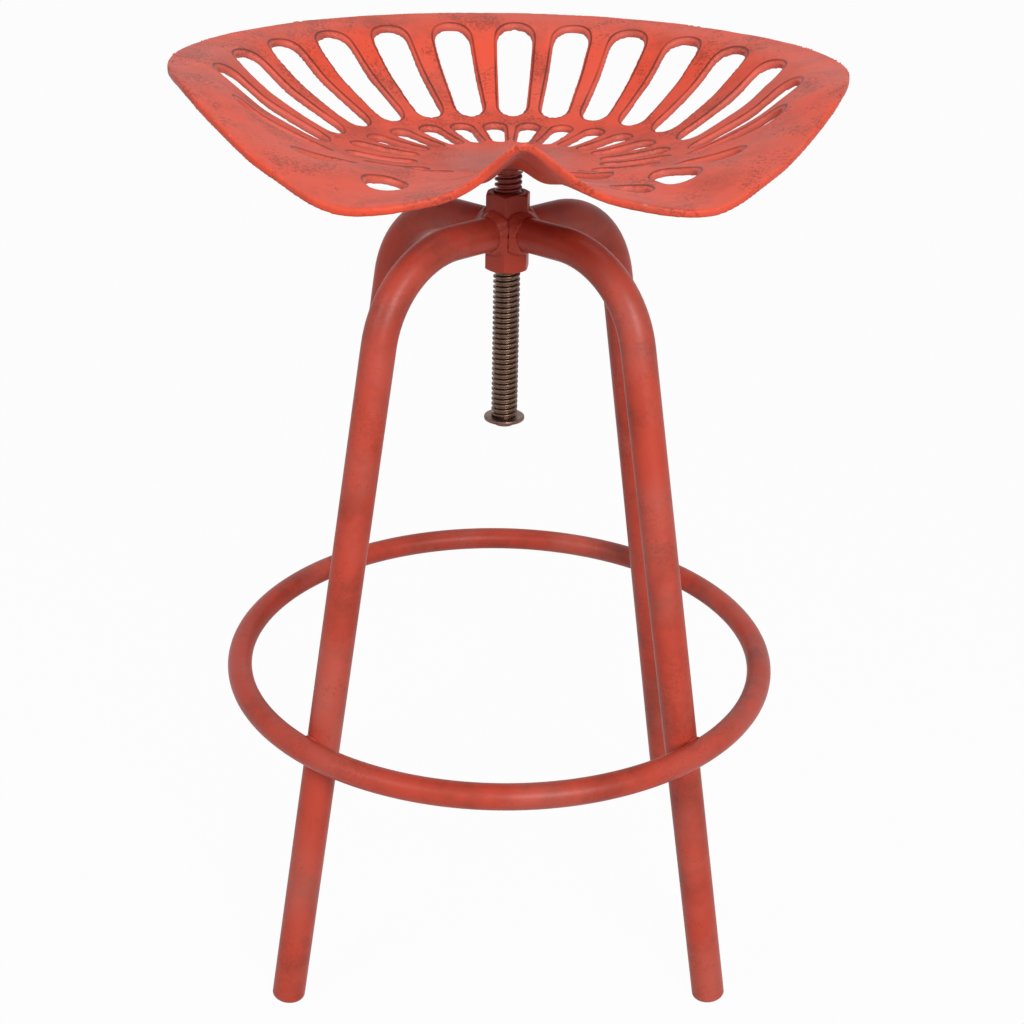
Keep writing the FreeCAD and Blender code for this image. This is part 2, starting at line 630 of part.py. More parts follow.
screw_thread = thread_solid(thread_root_radius, size("thread_diameter") / 2, thread_half_crest,
                            stub_bottom_height, size("pan_centre_height"))
spindle = common("spindle", formed("screw_thread", screw_thread), formed("screw_ends", screw_blank()))

bolt_shank = add("Part::Cylinder", "bolt_shank", Radius="Sizes.bolt_shank_diameter / 2",
                 Height="Sizes.bolt_shank_length")
place(bolt_shank, V(0, 0, stub_bottom_height))
bolt_head = add("Part::Cylinder", "bolt_head", Radius="Sizes.bolt_head_diameter / 2",
                Height="Sizes.bolt_head_height")
place(bolt_head, V(0, 0, stub_bottom_height - size("bolt_head_height")))
bolt_socket = hexagon("bolt_socket", "Sizes.bolt_socket_width", "Sizes.bolt_socket_depth")
place(bolt_socket, V(0, 0, stub_bottom_height - size("bolt_head_height")))
end_bolt = cut("end_bolt", fuse("bolt_blank", [bolt_shank, bolt_head]), bolt_socket)


def washer_body(name):
    """Flat washer with a rounded rim, turned round its axis."""
    body = doc.addObject("PartDesign::Body", name)
    body.Label = name
    inner = size("stub_diameter") / 2 + size("stub_gap")
    outer = size("washer_diameter") / 2
    thick = size("washer_thickness")
    profile = sketch_on(body, "XZ_Plane", name + "_profile")
    corners = [V(inner, 0, 0), V(outer, 0, 0), V(outer, thick, 0), V(inner, thick, 0)]
    for k in range(4):
        profile.addGeometry(Part.LineSegment(corners[k], corners[(k + 1) % 4]))
    for k in range(4):
        profile.addConstraint(Sketcher.Constraint("Coincident", k, 2, (k + 1) % 4, 1))
    profile.addConstraint(Sketcher.Constraint("Horizontal", 0))
    profile.addConstraint(Sketcher.Constraint("Vertical", 1))
    profile.addConstraint(Sketcher.Constraint("Horizontal", 2))
    profile.addConstraint(Sketcher.Constraint("Vertical", 3))
    profile.addConstraint(Sketcher.Constraint("PointOnObject", 0, 1, -1))
    bind_datum(profile, Sketcher.Constraint("DistanceX", -1, 1, 0, 1, inner), "bore_radius",
               "Sizes.stub_diameter / 2 + Sizes.stub_gap")
    bind_datum(profile, Sketcher.Constraint("DistanceX", -1, 1, 0, 2, outer), "rim_radius",
               "Sizes.washer_diameter / 2")
    bind_datum(profile, Sketcher.Constraint("DistanceY", 1, 1, 1, 2, thick), "thickness",
               "Sizes.washer_thickness")
    doc.recompute()
    turned = body.newObject("PartDesign::Revolution", name + "_turned")
    turned.Profile = profile
    turned.ReferenceAxis = (profile, ["V_Axis"])
    turned.Angle = 360
    doc.recompute()
    rims = ["Edge%d" % (k + 1) for k, edge in enumerate(turned.Shape.Edges)
            if edge.Curve.TypeId == "Part::GeomCircle" and abs(edge.Curve.Radius - outer) < 1e-6]
    rounded = body.newObject("PartDesign::Fillet", name + "_rounded")
    rounded.Base = (turned, rims)
    rounded.setExpression("Radius", "min(Sizes.washer_edge_radius; Sizes.washer_thickness * 0.45)")
    body.Tip = rounded
    doc.recompute()
    return body


stop_washer = washer_body("stop_washer")
place(stop_washer, V(0, 0, stub_bottom_height + size("washer_end_play")))

seat_bead = add("Part::Cone", "seat_bead", Radius1="Sizes.thread_diameter / 2",
                Radius2="Sizes.thread_diameter / 2 + Sizes.seat_bead_size",
                Height="Sizes.seat_bead_size + Sizes.pan_thickness * 0.8")
place(seat_bead, V(0, 0, pan_underside_height - size("seat_bead_size")))
screw_space = add("Part::Cylinder", "screw_space", Radius="Sizes.thread_diameter / 2",
                  Height="Sizes.pan_centre_height")
place(screw_space, V(0, 0, 0))
bead_under_pan = cut("bead_under_pan", seat_bead, seat_pan)
seat_weld = cut("seat_weld", bead_under_pan, screw_space)

doc.recompute()

pieces = base_pieces + [stop_washer, seat_pan, spindle, seat_weld, end_bolt]
for thing in doc.Objects:
    if "Invalid" in thing.State or "Error" in thing.State:
        raise RuntimeError("%s is %s" % (thing.Label, thing.State))
for piece in pieces:
    if piece.Shape.isNull() or not piece.Shape.isValid() or not piece.Shape.Solids:
        raise RuntimeError("%s has no valid solid" % piece.Label)

os.makedirs("parts", exist_ok=True)
for piece in pieces:
    piece.Shape.exportStep(os.path.join("parts", piece.Label + ".step"))
    print("%-26s solids %d volume %.1f" % (piece.Label, len(piece.Shape.Solids), piece.Shape.Volume))
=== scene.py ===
"""Dressed model of a tractor seat stool.

A cast pan with radial slots turns on a trapezoidal screw in a hub nut, which four bent tube legs
and a round foot rail carry. Metres, +Z up, the floor at z = 0, the seat's front towards -Y.
"""

import math

import bmesh
import bpy
from mathutils import Matrix, Vector, noise
from mathutils.kdtree import KDTree


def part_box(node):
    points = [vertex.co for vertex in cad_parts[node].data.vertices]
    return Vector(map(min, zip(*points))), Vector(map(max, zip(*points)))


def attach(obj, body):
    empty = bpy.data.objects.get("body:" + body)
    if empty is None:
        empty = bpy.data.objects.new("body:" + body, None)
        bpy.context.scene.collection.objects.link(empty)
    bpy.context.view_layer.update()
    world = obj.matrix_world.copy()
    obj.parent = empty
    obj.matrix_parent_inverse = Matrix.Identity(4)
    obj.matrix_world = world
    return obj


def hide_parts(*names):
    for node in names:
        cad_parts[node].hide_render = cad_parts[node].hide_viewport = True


bl_info = {
    "name": "Tractor Seat Stool",
    "version": (1, 0, 0),
    "blender": (4, 5, 0),
    "location": "3D View > Sidebar > Stool",
    "description": "Builds the slotted seat, screw, hub, legs, foot rail and studio",
    "category": "Object",
}

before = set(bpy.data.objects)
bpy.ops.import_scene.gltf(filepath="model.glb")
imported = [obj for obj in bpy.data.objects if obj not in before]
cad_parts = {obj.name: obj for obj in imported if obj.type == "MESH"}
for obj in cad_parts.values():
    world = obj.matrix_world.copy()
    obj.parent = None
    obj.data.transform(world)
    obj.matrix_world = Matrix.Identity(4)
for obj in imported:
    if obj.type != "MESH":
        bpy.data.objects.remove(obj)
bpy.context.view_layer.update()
MM = 0.001
UP = Vector((0.0, 0.0, 1.0))

# Direction of each leg, in degrees from +X
LEGS = {"front_left": 225.0, "front_right": 315.0, "rear_right": 45.0, "rear_left": 135.0}


def linear(hex_colour):
    """Linear RGBA of an sRGB hex value."""
    channels = [int(hex_colour[k:k + 2], 16) / 255.0 for k in (1, 3, 5)]
    return tuple(c / 12.92 if c <= 0.04045 else ((c + 0.055) / 1.055) ** 2.4 for c in channels) + (1.0,)


# Settings

class StoolSizes(bpy.types.PropertyGroup):
    """Sizes of the pieces that are modelled here."""

    leg_radius: bpy.props.FloatProperty(
        name="Leg radius", description="Outside radius of a leg tube",
        default=12.5 * MM, unit="LENGTH")
    leg_run_height: bpy.props.FloatProperty(
        name="Run height", description="Height of the level run at the hub",
        default=569.0 * MM, unit="LENGTH")
    leg_bend_radius: bpy.props.FloatProperty(
        name="Bend radius", description="Centreline radius of a leg's bend",
        default=75.0 * MM, unit="LENGTH")
    leg_splay: bpy.props.FloatProperty(
        name="Splay", description="Lean of a leg from the vertical",
        default=math.radians(11.68), unit="ROTATION")
    foot_circle: bpy.props.FloatProperty(
        name="Foot circle", description="Radius at which the leg centrelines meet the floor",
        default=232.5 * MM, unit="LENGTH")
    rail_radius: bpy.props.FloatProperty(
        name="Rail tube radius", description="Outside radius of the foot rail's tube",
        default=9.5 * MM, unit="LENGTH")
    hub_flats: bpy.props.FloatProperty(
        name="Hub flats", description="Width across the hub nut's flats",
        default=30.0 * MM, unit="LENGTH")
    hub_turn: bpy.props.FloatProperty(
        name="Hub turn", description="Direction of one corner of the hub nut",
        default=math.radians(21.7), unit="ROTATION")
    thread_radius: bpy.props.FloatProperty(
        name="Thread radius", description="Radius over the thread's crest",
        default=10.0 * MM, unit="LENGTH")
    thread_pitch: bpy.props.FloatProperty(
        name="Thread pitch", description="Rise of the thread in one turn",
        default=4.0 * MM, unit="LENGTH")
    thread_depth: bpy.props.FloatProperty(
        name="Thread depth", description="Crest to root", default=2.25 * MM, unit="LENGTH")
    thread_crest: bpy.props.FloatProperty(
        name="Crest width", description="Flat on top of the thread", default=1.46 * MM, unit="LENGTH")
    pan_grain: bpy.props.FloatProperty(
        name="Pan grain", description="Mesh size of the cast pan", default=1.3 * MM, unit="LENGTH")
    pan_softening: bpy.props.IntProperty(
        name="Pan softening", description="Smoothing passes that round the pan's cast edges", default=7)
    pan_triangles: bpy.props.IntProperty(
        name="Pan triangles", description="Triangles left in the cast pan", default=185000)
    slot_border: bpy.props.FloatProperty(
        name="Slot border", description="Width of the bevelled border round a slot",
        default=3.0 * MM, unit="LENGTH")
    slot_border_depth: bpy.props.FloatProperty(
        name="Slot border depth", description="How far the border sinks towards the slot",
        default=0.9 * MM, unit="LENGTH")


class StoolFinish(bpy.types.PropertyGroup):
    """Colours of the finishes, painted light and shade among them."""

    coral: bpy.props.FloatVectorProperty(
        name="Coral paint", description="Paint on the seat", subtype="COLOR", size=4,
        default=linear("#dd4e34"))
    brick: bpy.props.FloatVectorProperty(
        name="Brick paint", description="Paint on the base", subtype="COLOR", size=4,
        default=linear("#bc4432"))
    # Real stain in hollows, clouds and flecks, and also the colour of the painted shade under the seat on
    # the base
    stain_and_shade: bpy.props.FloatVectorProperty(
        name="Brown stain", description="Dark glaze left in hollows", subtype="COLOR", size=4,
        default=linear("#6b2a1d"))
    bare_metal: bpy.props.FloatVectorProperty(
        name="Bare metal", description="Metal where the paint has worn off", subtype="COLOR", size=4,
        default=linear("#a39a90"))
    # Partly rubbed paint and partly a painted sheen
    bloom_and_sheen: bpy.props.FloatVectorProperty(
        name="Bloom", description="Grey-red of paint that has been rubbed", subtype="COLOR", size=4,
        default=linear("#b8746a"))
    polished: bpy.props.FloatVectorProperty(
        name="Polished middle", description="Paint dulled by sitting", subtype="COLOR", size=4,
        default=linear("#a9625a"))
    # Painted shade: a dark line round each slot, standing in for the shadow at its edge
    slot_shade_line: bpy.props.FloatVectorProperty(
        name="Slot line", description="Stain in the line round each slot", subtype="COLOR", size=4,
        default=linear("#5a2116"))
    # Painted light: the slot walls are coloured paler, as if lit
    lit_slot_wall: bpy.props.FloatVectorProperty(
        name="Slot wall", description="Paler paint on the walls of the slots", subtype="COLOR", size=4,
        default=linear("#c8756a"))
    screw_steel: bpy.props.FloatVectorProperty(
        name="Screw steel", description="Oiled steel of the screw", subtype="COLOR", size=4,
        default=linear("#8a7163"))
    tarnish: bpy.props.FloatVectorProperty(
        name="Tarnish", description="Browned steel of the screw", subtype="COLOR", size=4,
        default=linear("#4d382d"))
    grime: bpy.props.FloatVectorProperty(
        name="Grime", description="Old oil in the roots of the thread", subtype="COLOR", size=4,
        default=linear("#241812"))
    thread_paint: bpy.props.FloatVectorProperty(
        name="Thread paint", description="Seat paint that ran over the screw's top", subtype="COLOR",
        size=4, default=linear("#93301f"))
    root_paint: bpy.props.FloatVectorProperty(
        name="Root paint", description="The same paint in the roots", subtype="COLOR", size=4,
        default=linear("#4a1810"))


# Materials

def add_node(tree, kind, links=None, **settings):
    """Node of a kind, with its properties and socket values set and its inputs linked."""
    node = tree.nodes.new(kind)
    for key, value in settings.items():
        if hasattr(node, key):
            setattr(node, key, value)
        else:
            node.inputs[key.replace("_", " ")].default_value = value
    for socket, source in (links or {}).items():
        tree.links.new(source, node.inputs[socket])
    return node


def blank_material(name):
    """Material with a Principled shader and the piece's own coordinates."""
    material = bpy.data.materials.new(name)
    material.use_nodes = True
    tree = material.node_tree
    place = tree.nodes.new("ShaderNodeTexCoord").outputs["Object"]
    return material, tree, tree.nodes["Principled BSDF"], place


def per_mm(millimetres):
    """Noise scale whose grain has this size."""
    return 1.0 / (millimetres * MM)


def worn_paint(name, paint, stain_share, wear, roughness, on_seat):
    """Baked enamel over steel, glazed with a brown stain and rubbed back by hand.

    The stain gathers in hollows and in soft clouds, fine flecks show through, and the sharpest
    convex edges are rubbed to bare metal. Grey patches are partly rubbed paint and partly a painted
    sheen. On the seat a dark line of painted shade runs round each slot, the slot walls are coloured
    paler as painted light, and the middle is polished grey. On the base a painted shade under the
    seat darkens the hub and the tops of the legs.
    """
    finish = bpy.context.scene.stool_finish
    material, tree, shader, place = blank_material(name)

    def over(below, share, colour):
        """Colour laid over what is below by a share."""
        layer = add_node(tree, "ShaderNodeMix", {"Factor": share}, data_type="RGBA")
        if isinstance(below, tuple):
            layer.inputs[6].default_value = below
        else:
            tree.links.new(below, layer.inputs[6])
        layer.inputs[7].default_value = colour
        return layer.outputs[2]

    clouds = add_node(tree, "ShaderNodeTexNoise", {"Vector": place}, Scale=per_mm(42.0), Detail=5.0,
                      Roughness=0.62)
    cloudy = add_node(tree, "ShaderNodeMapRange", {"Value": clouds.outputs["Fac"]}, clamp=True,
                      From_Min=0.47, From_Max=0.74, To_Max=stain_share)
    colour = over(tuple(paint), cloudy.outputs["Result"], finish.stain_and_shade)

    # Grey bloom in broad patches: partly rubbed paint, partly a painted sheen
    bloom_and_sheen = add_node(tree, "ShaderNodeTexNoise", {"Vector": place}, Scale=per_mm(75.0), Detail=3.0)
    bloom_and_sheen_share = add_node(tree, "ShaderNodeMapRange", {"Value": bloom_and_sheen.outputs["Fac"]}, clamp=True,
                      From_Min=0.44, From_Max=0.78, To_Max=0.22 if on_seat else 0.4)
    colour = over(colour, bloom_and_sheen_share.outputs["Result"], finish.bloom_and_sheen)

    # Fine flecks, gathered where a coarser pattern allows them
    flecks = add_node(tree, "ShaderNodeTexNoise", {"Vector": place}, Scale=per_mm(2.4), Detail=3.0,
                      Roughness=0.7)
    gather = add_node(tree, "ShaderNodeTexNoise", {"Vector": place}, Scale=per_mm(28.0), Detail=2.0)
    both = add_node(tree, "ShaderNodeMath", {0: flecks.outputs["Fac"], 1: gather.outputs["Fac"]},
                    operation="MULTIPLY")
    flecky = add_node(tree, "ShaderNodeMapRange", {"Value": both.outputs[0]}, clamp=True,
                      From_Min=0.28, From_Max=0.37, To_Max=0.55 if on_seat else 0.22)
    colour = over(colour, flecky.outputs["Result"], finish.stain_and_shade)

    across = add_node(tree, "ShaderNodeVectorMath", {0: place}, operation="MULTIPLY")
    across.inputs[1].default_value = (1.0, 1.0, 0.0)
    from_axis = add_node(tree, "ShaderNodeVectorMath", {0: across.outputs[0]}, operation="LENGTH")
    if on_seat:
        # Polished middle, then a dark line of painted shade round each slot and painted light on the slot
        # walls
        middle = add_node(tree, "ShaderNodeMapRange", {"Value": from_axis.outputs["Value"]}, clamp=True,
                          From_Min=26.0 * MM, From_Max=58.0 * MM, To_Min=0.62, To_Max=0.0)
        colour = over(colour, middle.outputs["Result"], finish.polished)
        border = add_node(tree, "ShaderNodeAttribute", attribute_name="slot_distance")
        off_line = add_node(tree, "ShaderNodeMath", {0: border.outputs["Fac"]}, operation="SUBTRACT")
        off_line.inputs[1].default_value = 2.2 * MM
        beside = add_node(tree, "ShaderNodeMath", {0: off_line.outputs[0]}, operation="ABSOLUTE")
        # Painted shade: a dark line at a set distance from each slot's wall
        line = add_node(tree, "ShaderNodeMapRange", {"Value": beside.outputs[0]}, clamp=True,
                        From_Min=0.25 * MM, From_Max=1.1 * MM, To_Min=0.95, To_Max=0.0)
        broken = add_node(tree, "ShaderNodeMapRange", {"Value": gather.outputs["Fac"]}, clamp=True,
                          From_Min=0.3, From_Max=0.52, To_Min=0.5, To_Max=1.0)
        drawn = add_node(tree, "ShaderNodeMath", {0: line.outputs["Result"],
                                                  1: broken.outputs["Result"]}, operation="MULTIPLY")
        colour = over(colour, drawn.outputs[0], finish.slot_shade_line)
        # Painted light: a paler colour on the slot walls, as if lit
        wall = add_node(tree, "ShaderNodeMapRange", {"Value": border.outputs["Fac"]}, clamp=True,
                        From_Min=0.2 * MM, From_Max=1.2 * MM, To_Min=0.4, To_Max=0.0)
        colour = over(colour, wall.outputs["Result"], finish.lit_slot_wall)
    else:
        # Painted shade under the seat: the hub and the tops of the legs are darkened towards the stain
        # colour
        height = add_node(tree, "ShaderNodeSeparateXYZ", {"Vector": place})
        under_seat_shade = add_node(tree, "ShaderNodeMapRange", {"Value": height.outputs["Z"]}, clamp=True,
                         From_Min=0.5, From_Max=0.585, To_Max=0.2)
        colour = over(colour, under_seat_shade.outputs["Result"], finish.stain_and_shade)

    # Hollows keep the stain, and sharp edges lose the paint
    shape = tree.nodes.new("ShaderNodeNewGeometry")
    hollow = add_node(tree, "ShaderNodeMapRange", {"Value": shape.outputs["Pointiness"]}, clamp=True,
                      From_Min=0.495, From_Max=0.45, To_Max=0.85)
    colour = over(colour, hollow.outputs["Result"], finish.stain_and_shade)
    ragged = add_node(tree, "ShaderNodeTexNoise", {"Vector": place}, Scale=per_mm(9.0), Detail=4.0)
    edge = add_node(tree, "ShaderNodeMath", {0: ragged.outputs["Fac"], 2: shape.outputs["Pointiness"]},
                    operation="MULTIPLY_ADD")
    edge.inputs[1].default_value = 0.16
    worn = add_node(tree, "ShaderNodeMapRange", {"Value": edge.outputs[0]}, clamp=True,
                    From_Min=wear, From_Max=wear + 0.06, To_Max=0.8)
    colour = over(colour, worn.outputs["Result"], finish.bare_metal)
    tree.links.new(colour, shader.inputs["Base Color"])

    # Satin surface with a fine brushed-on unevenness
    gloss = add_node(tree, "ShaderNodeMapRange", {"Value": flecks.outputs["Fac"]},
                     To_Min=roughness - 0.1, To_Max=roughness + 0.12)
    tree.links.new(gloss.outputs["Result"], shader.inputs["Roughness"])
    grain = add_node(tree, "ShaderNodeTexNoise", {"Vector": place}, Scale=per_mm(3.2), Detail=4.0)
    bump = add_node(tree, "ShaderNodeBump", {"Height": grain.outputs["Fac"]}, Strength=0.16,
                    Distance=0.4 * MM)
    tree.links.new(bump.outputs["Normal"], shader.inputs["Normal"])
    shader.inputs["Specular IOR Level"].default_value = 0.26
    return material


def oiled_steel(name, paint_from=None):
    """Turned steel, browned by old oil, with bright crests and dark roots.

    Above the height paint_from the screw was painted with the seat.
    """
    finish = bpy.context.scene.stool_finish
    material, tree, shader, place = blank_material(name)
    tarnish = add_node(tree, "ShaderNodeTexNoise", {"Vector": place}, Scale=per_mm(7.0), Detail=5.0,
                       Roughness=0.65)
    brown = add_node(tree, "ShaderNodeMix", {"Factor": tarnish.outputs["Fac"]}, data_type="RGBA")
    brown.inputs[6].default_value = finish.screw_steel
    brown.inputs[7].default_value = finish.tarnish
    shape = tree.nodes.new("ShaderNodeNewGeometry")
    root = add_node(tree, "ShaderNodeMapRange", {"Value": shape.outputs["Pointiness"]}, clamp=True,
                    From_Min=0.5, From_Max=0.44)
    dirty = add_node(tree, "ShaderNodeMix", {"Factor": root.outputs["Result"], 6: brown.outputs[2]},
                     data_type="RGBA")
    dirty.inputs[7].default_value = finish.grime
    colour = dirty.outputs[2]
    shader.inputs["Metallic"].default_value = 0.95
    if paint_from is not None:
        height = add_node(tree, "ShaderNodeSeparateXYZ", {"Vector": place})
        smear = add_node(tree, "ShaderNodeTexNoise", {"Vector": place}, Scale=per_mm(6.0))
        uneven = add_node(tree, "ShaderNodeMath", {0: smear.outputs["Fac"], 2: height.outputs["Z"]},
                          operation="MULTIPLY_ADD")
        uneven.inputs[1].default_value = 12.0 * MM
        painted = add_node(tree, "ShaderNodeMapRange", {"Value": uneven.outputs[0]}, clamp=True,
                           From_Min=paint_from, From_Max=paint_from + 2.0 * MM)
        red = add_node(tree, "ShaderNodeMix", {"Factor": root.outputs["Result"]}, data_type="RGBA")
        red.inputs[6].default_value = finish.thread_paint
        red.inputs[7].default_value = finish.root_paint
        mixed = add_node(tree, "ShaderNodeMix", {"Factor": painted.outputs["Result"], 6: colour,
                                                 7: red.outputs[2]}, data_type="RGBA")
        colour = mixed.outputs[2]
        bare = add_node(tree, "ShaderNodeMath", {1: painted.outputs["Result"]}, operation="SUBTRACT")
        bare.inputs[0].default_value = 1.0
        tree.links.new(bare.outputs[0], shader.inputs["Metallic"])
    tree.links.new(colour, shader.inputs["Base Color"])
    gloss = add_node(tree, "ShaderNodeMapRange", {"Value": tarnish.outputs["Fac"]}, To_Min=0.24,
                     To_Max=0.5)
    tree.links.new(gloss.outputs["Result"], shader.inputs["Roughness"])
    bump = add_node(tree, "ShaderNodeBump", {"Height": tarnish.outputs["Fac"]}, Strength=0.2,
                    Distance=0.3 * MM)
    tree.links.new(bump.outputs["Normal"], shader.inputs["Normal"])
    return material


def finish_named(key):
    """Material of a finish, made when it is first asked for."""
    if key not in bpy.data.materials:
        finish = bpy.context.scene.stool_finish
        if key == "enamel_seat":
            worn_paint(key, finish.coral, 0.5, 0.64, 0.46, on_seat=True)
        elif key == "enamel_base":
            worn_paint(key, finish.brick, 0.6, 0.69, 0.42, on_seat=False)
        elif key == "oiled_steel_screw":
            oiled_steel(key, paint_from=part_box("hub_nut")[1][2] - 8.0 * MM)
        elif key == "oiled_steel":
            oiled_steel(key)
    return bpy.data.materials[key]


# Modelling

def loose_object(name, bm):
    """Object at the origin that holds a bmesh."""
    mesh = bpy.data.meshes.new(name)
    bm.to_mesh(mesh)
    bm.free()
    thing = bpy.data.objects.new(name, mesh)
    bpy.context.scene.collection.objects.link(thing)
    return thing


def only(kind, geometry):
    """Elements of one kind out of what an operator returns."""
    return [item for item in geometry if isinstance(item, kind)]


def cut_off(bm, height, outward):
    """Cut a mesh at a height, clear the outward side and close the cut."""
    cutting = bmesh.ops.bisect_plane(bm, geom=bm.verts[:] + bm.edges[:] + bm.faces[:],
                                     plane_co=(0, 0, height), plane_no=outward, clear_outer=True)
    bmesh.ops.contextual_create(bm, geom=only(bmesh.types.BMEdge, cutting["geom_cut"]))


def finish_piece(thing, material, body, nodes, sharp=math.radians(35)):
    """Shade a piece, give it its finish and put it in the place of its nodes."""
    thing.data.materials.clear()
    thing.data.materials.append(finish_named(material))
    thing.data.polygons.foreach_set("use_smooth", [True] * len(thing.data.polygons))
    thing.data.set_sharp_from_angle(angle=sharp)
    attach(thing, body)
    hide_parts(*nodes)
    return thing


def bake_modifiers(thing):
    """Make the result of an object's modifiers its mesh."""
    bpy.context.view_layer.update()
    evaluated = thing.evaluated_get(bpy.context.evaluated_depsgraph_get())
    mesh = bpy.data.meshes.new_from_object(evaluated)
    thing.modifiers.clear()
    old = thing.data
    thing.data = mesh
    bpy.data.meshes.remove(old)
    mesh.name = thing.name


def recast(thing, grain, softening, drawn=None):
    """Give an object an even mesh that follows the drawn one, with softened edges."""
    remesh = thing.modifiers.new("grain", "REMESH")
    remesh.mode = "VOXEL"
    remesh.voxel_size = grain
    if drawn:
        settle = thing.modifiers.new("settle", "SHRINKWRAP")
        settle.target = drawn
    soften = thing.modifiers.new("soften", "SMOOTH")
    soften.factor = 0.5
    soften.iterations = softening
    bake_modifiers(thing)


def roughen(thing, layers):
    """Push a surface in and out by noise: layers are pairs of grain and height in millimetres."""
    bm = bmesh.new()
    bm.from_mesh(thing.data)
    for vert in bm.verts:
        lift = sum(noise.noise(vert.co * per_mm(grain)) * height for grain, height in layers)
        vert.co += vert.normal * lift * MM
    bm.to_mesh(thing.data)
    bm.free()


def node_copy(node):
    """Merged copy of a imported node."""
    bm = bmesh.new()
    bm.from_mesh(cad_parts[node].data)
    bmesh.ops.remove_doubles(bm, verts=bm.verts, dist=0.002 * MM)
    return bm


def turned(bm, profile, steps, matrix=Matrix()):
    """Body of revolution about Z from pairs of radius and height, from axis to axis or closed."""
    verts = [bm.verts.new((radius, 0.0, height)) for radius, height in profile]
    edges = [bm.edges.new(pair) for pair in zip(verts[:-1], verts[1:])]
    old = set(bm.verts) - set(verts)
    bmesh.ops.spin(bm, geom=verts + edges, cent=(0, 0, 0), axis=UP, angle=math.tau, steps=steps,
                   use_merge=True)
    new = [vert for vert in bm.verts if vert not in old]
    bmesh.ops.transform(bm, matrix=matrix, verts=new)
    bmesh.ops.remove_doubles(bm, verts=new, dist=0.001 * MM)
    bmesh.ops.recalc_face_normals(bm, faces=bm.faces)


def rounded(points, radius, steps=3):
    """Profile with its inner corners rounded by short chamfers that follow an arc."""
    out = [points[0]]
    for before, corner, after in zip(points[:-2], points[1:-1], points[2:]):
        here = Vector(corner)
        into, away = Vector(before) - here, Vector(after) - here
        reach = min(radius, into.length * 0.45, away.length * 0.45)
        start, end = here + into.normalized() * reach, here + away.normalized() * reach
        for k in range(steps + 1):
            u = k / steps
            out.append(tuple((1 - u) ** 2 * start + 2 * u * (1 - u) * here + u * u * end))
    out.append(points[-1])
    return out


def leg_matrix(azimuth, along):
    """Place on a leg's straight: Z climbs the leg, and along is measured from the floor."""
    sizes = bpy.context.scene.stool_sizes
    turn = Matrix.Rotation(math.radians(azimuth), 4, "Z")
    foot = Matrix.Translation((sizes.foot_circle, 0, 0))
    lean = Matrix.Rotation(-sizes.leg_splay, 4, "Y")
    return turn @ foot @ lean @ Matrix.Translation((0, 0, along))


class STOOL_OT_seat_pan(bpy.types.Operator):
    """Cast pan with rounded slot edges"""

    bl_idname = "stool.seat_pan"
    bl_label = "Seat pan"

    def execute(self, context):
        sizes = context.scene.stool_sizes
        pan = loose_object("seat_pan_cast", node_copy("seat_pan"))
        drawn = loose_object("seat_pan_drawn", node_copy("seat_pan"))
        recast(pan, sizes.pan_grain, sizes.pan_softening, drawn)
        outline = self.slot_outline(drawn)
        bpy.data.objects.remove(drawn)
        self.sink_slot_borders(pan, outline)
        roughen(pan, ((30.0, 0.3), (9.0, 0.07)))
        thin_out = pan.modifiers.new("thin_out", "DECIMATE")
        thin_out.ratio = sizes.pan_triangles / (2 * len(pan.data.polygons))
        bake_modifiers(pan)
        distance = pan.data.attributes.new("slot_distance", "FLOAT", "POINT")
        distance.data.foreach_set("value", [outline.find((vert.co.x, vert.co.y, 0.0))[2]
                                            for vert in pan.data.vertices])
        finish_piece(pan, "enamel_seat", "seat", ["seat_pan"], math.radians(180))
        return {"FINISHED"}

    @staticmethod
    def slot_outline(drawn):
        """Points along the slot walls, seen from above and every half millimetre."""
        middle, rim_width, spacing, directions = 20.0 * MM, 14.0 * MM, 0.5 * MM, 120
        vertices = drawn.data.vertices

        def direction(point):
            return int((math.atan2(point.y, point.x) / math.tau + 0.5) * directions) % directions

        reach = [0.0] * directions
        for vert in vertices:
            reach[direction(vert.co)] = max(reach[direction(vert.co)], vert.co.xy.length)
        points = []
        for face in drawn.data.polygons:
            part, from_axis = direction(face.center), face.center.xy.length
            rim = min(reach[part - 1], reach[part], reach[(part + 1) % directions])
            if abs(face.normal.z) > 0.35 or not middle < from_axis < rim - rim_width:
                continue
            for first, second in face.edge_keys:
                start, end = vertices[first].co.xy, vertices[second].co.xy
                parts = max(1, math.ceil((end - start).length / spacing))
                points += [start.lerp(end, k / parts) for k in range(parts)]
        outline = KDTree(len(points))
        for index, point in enumerate(points):
            outline.insert((point.x, point.y, 0.0), index)
        outline.balance()
        return outline

    @staticmethod
    def sink_slot_borders(pan, outline):
        """Bevel the border of each slot on the upper side."""
        sizes = bpy.context.scene.stool_sizes
        border, depth = sizes.slot_border, sizes.slot_border_depth
        bm = bmesh.new()
        bm.from_mesh(pan.data)
        for vert in bm.verts:
            away = outline.find((vert.co.x, vert.co.y, 0.0))[2]
            if vert.normal.z > 0.3 and away < border:
                vert.co.z -= depth * (1.0 - away / border)
        bm.to_mesh(pan.data)
        bm.free()


